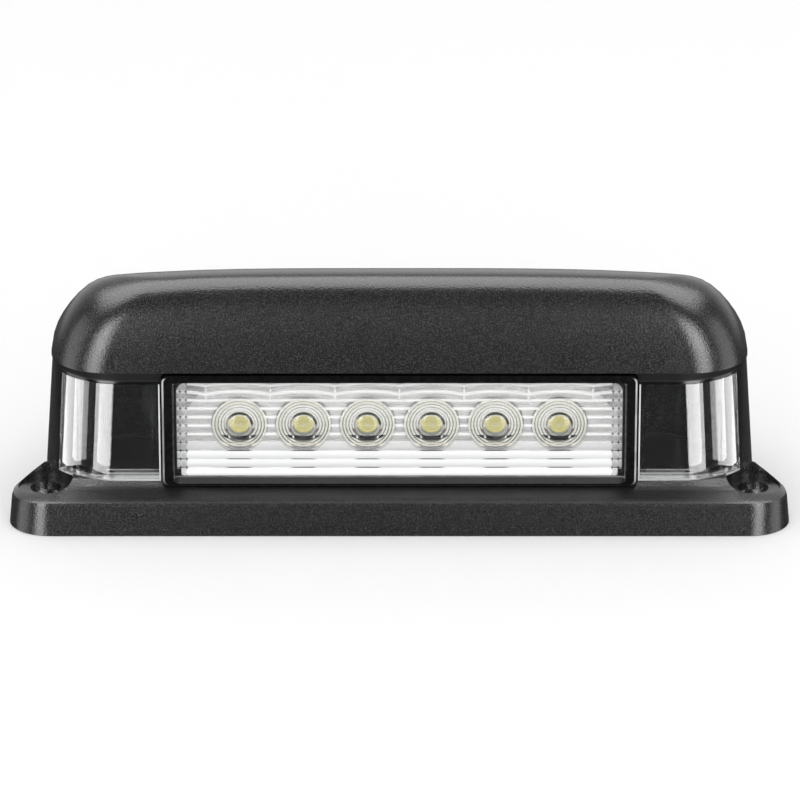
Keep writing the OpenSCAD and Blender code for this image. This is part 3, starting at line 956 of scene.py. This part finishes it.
def spun(profile: Profile, steps: int, weld: float = 1e-7) -> bmesh.types.BMesh:
    """Turns a profile of (radius, height) pairs round Z.

    Args:
        profile: the outline, which starts and ends on the axis.
        steps: segments of the full turn.
        weld: points closer than this are one, in metres.

    Returns:
        The closed form.
    """
    work = bmesh.new()
    verts = [work.verts.new((radius, 0.0, height)) for radius, height in profile]
    edges = [work.edges.new(pair) for pair in zip(verts, verts[1:])]
    bmesh.ops.spin(
        work,
        geom=verts + edges,
        cent=(0, 0, 0),
        axis=(0, 0, 1),
        angle=math.tau,
        steps=steps,
        use_merge=True,
    )
    bmesh.ops.remove_doubles(work, verts=work.verts, dist=weld)
    bmesh.ops.recalc_face_normals(work, faces=work.faces)
    return work


def placed(name: str, data: Any) -> bpy.types.Object:
    """Puts a mesh, lamp or camera into the scene.

    Args:
        name: the object's name.
        data: what it holds.

    Returns:
        The object.
    """
    obj = bpy.data.objects.new(name, data)
    bpy.context.scene.collection.objects.link(obj)
    return obj


@dataclass
class Assembly:
    """A group of pieces that are made and dressed together."""

    finishes: Dict[str, bpy.types.Material]
    made: List[str] = field(default_factory=list)

    def report(self, piece: str) -> None:
        """Logs a finished piece."""
        self.made.append(piece)
        LOG.info("piece %s", piece)

    def dress(self, node: str, finish: str) -> None:
        """Gives a CAD node its finish.

        Args:
            node: the node's name.
            finish: key of the finish.
        """
        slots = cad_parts[node].data.materials
        slots.clear()
        slots.append(self.finishes[finish])
        self.report(node)

    def own(self, obj: bpy.types.Object, slot: str, finish: str, node: str) -> None:
        """Registers a new piece that stands for a CAD node.

        Args:
            obj: the piece.
            slot: the record's material slot, not used.
            finish: key of the finish.
            node: the CAD node that it replaces.
        """
        obj.data.materials.clear()
        obj.data.materials.append(self.finishes[finish])
        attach(obj, "root")
        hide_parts(node)
        self.report(obj.name)

    def smoothed(self, node: str, slot: str, finish: str, angle: float = 32.0) -> None:
        """Makes a smoothly shaded piece in the exact shape of a CAD node.

        Args:
            node: the node's name.
            slot: the record's material slot.
            finish: key of the finish.
            angle: edges sharper than this stay sharp, in degrees.
        """
        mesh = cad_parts[node].data.copy()
        mesh.name = node + "_skin"
        shade_by_angle(mesh, angle)
        obj = placed(mesh.name, mesh)
        even = obj.modifiers.new("even_shading", "WEIGHTED_NORMAL")
        even.keep_sharp = True
        self.own(obj, slot, finish, node)


@dataclass
class Shell(Assembly):
    """The moulded housing with its hood and flange, and the underside's cover."""

    def build(self) -> None:
        """Dresses the shell and what closes it below."""
        self.smoothed("housing", "housing_plastic", "grained")
        self.dress("base_cover", "cover")
        self.dress("cover_seal", "rubber")
        self.dress("cable_grommet", "rubber")
        self.dress("wire_seal", "rubber")
        self.dress("cover_screws", "zinc")


@dataclass
class Window(Assembly):
    """Bezel, fluted lens and white tray."""

    def build(self) -> None:
        """Dresses the window from the front to the back."""
        self.smoothed("bezel", "bezel_plastic", "gloss")
        self.smoothed("window_lens", "clear_lens", "fluted", 50.0)
        self.smoothed("reflector", "white_reflector", "white")
        self.dress("window_seal", "rubber")
        self.dress("module_case", "case")


@dataclass
class CornerLenses(Assembly):
    """The two clear lenses that wrap round the front corners."""

    def build(self) -> None:
        """Dresses both lenses."""
        for side in ("left", "right"):
            self.smoothed("side_lens_" + side, "clear_lens", "clear")


@dataclass
class LightUnit(Assembly):
    """Diodes, ringed optics and the driver on the circuit board."""

    board: float = -5.7 * MM
    rings: int = 4
    first_ring: float = 2.86
    last_ring: float = 5.22
    segments: int = 72
    sharp: float = 24.0

    def profile(self) -> Profile:
        """Section of an optic, from the hollow over its diode to its front.

        Returns:
            Pairs of radius and height above the circuit board, in metres.
        """
        hollow = [(0.0, 1.56), (3.23, 1.56), (3.63, 1.16), (3.63, 0.01)]
        skirt = [(5.4, 0.01), (5.4, 2.18), (self.last_ring, 2.38)]
        step = (self.last_ring - self.first_ring) / self.rings
        # A ring in shares of a step inwards: its foot, crest, other foot and groove.
        ridge = [(0.0, 2.3), (0.3, 2.42), (0.62, 2.3), (0.85, 1.98)]
        ridges = []
        for ring in range(self.rings):
            outer = self.last_ring - ring * step
            ridges += [(outer - step * share, height) for share, height in ridge]
        angles = [math.radians(degrees) for degrees in range(80, 0, -8)]
        dome = [(2.7 * math.sin(a), 2.2 + 0.92 * math.cos(a)) for a in angles]
        front = ridges[1:] + [(2.78, 2.02)] + dome + [(0.0, 2.2 + 0.92)]
        return [(radius * MM, height * MM) for radius, height in hollow + skirt + front]

    def optic(self, number: int) -> None:
        """Turns one ringed optic in place of the plain one.

        Args:
            number: which diode it covers, from the left.
        """
        work = spun(self.profile(), self.segments)
        across = (number - (DIODE_COUNT + 1) / 2) * DIODE_PITCH
        place = Matrix.Translation((across, self.board, DIODE_HEIGHT))
        turn = place @ Matrix.Rotation(math.pi / 2, 4, "X")
        bmesh.ops.transform(work, matrix=turn, verts=work.verts)
        mesh = bpy.data.meshes.new(f"optic_{number}_rings")
        work.to_mesh(mesh)
        work.free()
        shade_by_angle(mesh, self.sharp)
        self.own(placed(mesh.name, mesh), "clear_optic", "optic", f"optic_{number}")

    def build(self) -> None:
        """Dresses the circuit board and what stands on it."""
        for number in range(1, DIODE_COUNT + 1):
            self.dress(f"led_{number}", "diode")
            self.optic(number)
        self.dress("circuit_board", "board")
        for node in ("regulator", "diodes", "resistors"):
            self.dress(node, "chip")
        self.dress("capacitor", "can")
        self.dress("supply_pins", "brass")


@dataclass(frozen=True)
class SoftBox:
    """A soft lamp that faces the object.

    It hangs azimuth degrees round from the front, positive to the right, elevation
    degrees above the level and away metres off. Its size is width and height in metres,
    and radiance is the brightness of its face, where white is 1.
    """

    name: str
    azimuth: float
    elevation: float
    away: float
    size: Tuple[float, float]
    radiance: float
    glow: Glow


@dataclass
class Studio:
    """Pale floor, soft lamps, white surround and the camera.

    Matt surfaces get the surround's even light. Glossy ones mirror its upper value in
    the wall behind the object and its lower value elsewhere.
    """

    elevation: float = 22.0
    distance: float = 1.15
    target: Tuple[float, float, float] = (0.0001, -0.015, 0.02483)
    sensor: float = 36.0
    upper: float = 1.15
    lower: float = 0.1
    even: float = 0.85
    floor_half: float = 6.0
    floor_drop: float = 0.1 * MM
    lamp_aim: float = 20.0 * MM

    def floor(self) -> None:
        """Lays the pale floor."""
        work = bmesh.new()
        bmesh.ops.create_grid(work, x_segments=8, y_segments=8, size=self.floor_half)
        bmesh.ops.translate(work, verts=work.verts, vec=(0, 0, -self.floor_drop))
        mesh = bpy.data.meshes.new("floor")
        work.to_mesh(mesh)
        work.free()
        obj = placed("floor", mesh)
        kit = Kit("pale_floor")
        cloud = kit.noise(kit.place(), 3.0)
        colour = kit.blend(cloud, (0.93, 0.93, 0.93), (0.945, 0.945, 0.945))
        shader = kit.principled(
            {"Base Color": colour, "Roughness": 0.9, "Specular IOR Level": 0.0}
        )
        mesh.materials.append(kit.done(shader))
        obj.visible_glossy = False
        obj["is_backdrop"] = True

    def surround(self) -> None:
        """Sets the world: even light, and a bright wall behind, only mirrored."""
        kit = Kit("surround", world=True)
        _, y, z = kit.axes(kit.node("ShaderNodeTexCoord", out="Generated"))
        outs = kit.node("ShaderNodeLightPath").socket.node.outputs
        mirrored = Value(kit, outs["Is Glossy Ray"])
        camera = Value(kit, outs["Is Camera Ray"])
        camera = camera.most(Value(kit, outs["Is Transmission Ray"]))
        behind = y.rise(0.2, 0.75) * z.rise(-0.2, 0.05)
        seen = behind * (self.upper - self.lower) + self.lower
        object_light = mirrored * seen + (1.0 - mirrored) * self.even
        strength = camera + (1.0 - camera) * object_light
        inputs = {"Color": (*WHITE, 1.0), "Strength": strength}
        back = kit.node("ShaderNodeBackground", None, inputs)
        bpy.context.scene.world = kit.done(back)

    def lamp(self, box: SoftBox) -> None:
        """Hangs a soft box.

        Args:
            box: its name, place, size and light.
        """
        width, height = box.size
        data = bpy.data.lights.new(box.name, "AREA")
        data.shape = "RECTANGLE"
        data.size, data.size_y = width, height
        data.energy = box.radiance * math.pi * width * height
        obj = placed(box.name, data)
        around, up = math.radians(box.azimuth), math.radians(box.elevation)
        right, ahead = math.sin(around) * math.cos(up), math.cos(around) * math.cos(up)
        way = Vector((right, -ahead, math.sin(up)))
        obj.location = Vector((0.0, 0.0, self.lamp_aim)) + way * box.away
        obj.rotation_mode = "QUATERNION"
        obj.rotation_quaternion = way.to_track_quat("Z", "Y")
        obj.visible_camera = False
        obj.visible_diffuse = obj.visible_transmission = box.glow is Glow.MATT
        obj.visible_glossy = box.glow is Glow.MIRRORED

    def lamps(self) -> None:
        """Hangs all soft boxes: three in the middle, and three pairs to the sides."""
        matt, mirrored = Glow.MATT, Glow.MIRRORED
        middle = [
            SoftBox("top_box", 0, 80, 1.6, (1.4, 1.0), 1.4, matt),
            SoftBox("front_box", 0, 14, 1.5, (1.6, 0.9), 1.4, matt),
            SoftBox("over_box", 180, 87, 1.2, (2.4, 1.2), 5.8, mirrored),
        ]
        pairs = [
            SoftBox("near_strip", 31.5, -12, 1.0, (0.42, 1.7), 7.2, mirrored),
            SoftBox("corner_box", 29, 14, 1.0, (0.5, 0.6), 2.8, mirrored),
            SoftBox("far_strip", 82, -12, 1.0, (0.62, 1.7), 2.3, mirrored),
        ]
        for box in middle:
            self.lamp(box)
        for side in (-1, 1):
            for box in pairs:
                name = f"{box.name}_{side + 2}"
                self.lamp(replace(box, name=name, azimuth=side * box.azimuth))

    def camera(self) -> None:
        """Sets the camera at the photograph's angle, with the photograph's frame."""
        frame_width = PHOTO_WIDTH / PIXELS_PER_MM * MM
        data = bpy.data.cameras.new("camera")
        data.sensor_width = self.sensor
        data.lens = self.sensor * self.distance / frame_width
        data.clip_start, data.clip_end = 0.05, 50.0
        obj = placed("camera", data)
        up = math.radians(self.elevation)
        back = Vector((0, -math.cos(up), math.sin(up)))
        obj.location = Vector(self.target) + back * self.distance
        obj.rotation_mode = "QUATERNION"
        obj.rotation_quaternion = (-back).to_track_quat("-Z", "Y")
        bpy.context.scene.camera = obj

    def build(self) -> None:
        """Sets up the whole studio."""
        self.floor()
        self.surround()
        self.lamps()
        self.camera()
        bpy.context.scene.view_settings.view_transform = "Standard"


def make_finishes() -> Dict[str, bpy.types.Material]:
    """Builds every finish once.

    Returns:
        The materials by a short key.
    """
    recipes: Dict[str, Any] = {
        "grained": HousingPlastic(
            "grained_black", (0.007, 0.007, 0.0072), 0.24, Grain.COARSE
        ),
        "cover": MouldedPlastic(
            "cover_black", (0.012, 0.012, 0.0125), 0.45, Grain.FINE
        ),
        "gloss": BezelPlastic(
            "gloss_black", (0.006, 0.006, 0.0065), 0.16, specular=0.2
        ),
        "case": MouldedPlastic("case_black", (0.01, 0.01, 0.0105), 0.35),
        "chip": MouldedPlastic("chip_black", (0.02, 0.02, 0.02), 0.5, Grain.FINE),
        "rubber": MouldedPlastic(
            "rubber_black", (0.012, 0.012, 0.012), 0.6, Grain.FINE, 0.02 * MM, 0.3
        ),
        "board": MouldedPlastic("board_white", (0.74, 0.76, 0.72), 0.35),
        "fluted": FlutedPlastic("fluted_clear"),
        "clear": CornerPlastic("corner_clear", gloss=0.035, grazing=2.0, power=2.0),
        "optic": OpticPlastic("optic_clear"),
        "white": WhiteReflector("tray_white"),
        "diode": DiodePackage("diode_package"),
        "zinc": Metal("zinc_plate", (0.62, 0.62, 0.64), 0.32),
        "can": Metal("can_metal", (0.72, 0.72, 0.74), 0.3),
        "brass": Metal("pin_brass", (0.72, 0.55, 0.25), 0.3),
    }
    return {key: recipe.build() for key, recipe in recipes.items()}


def main(cad_box: Sequence[Vector]) -> None:
    """Builds the sub-assemblies in order.

    Args:
        cad_box: the CAD model's corners, not used.
    """
    finishes = make_finishes()
    for kind in (Shell, Window, CornerLenses, LightUnit):
        part = kind(finishes)
        part.build()
        LOG.info("%s: %d pieces", kind.__name__, len(part.made))
    Studio().build()


if __name__ == "__main__":
    logging.basicConfig(level=logging.INFO, format="%(message)s")
    main(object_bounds())
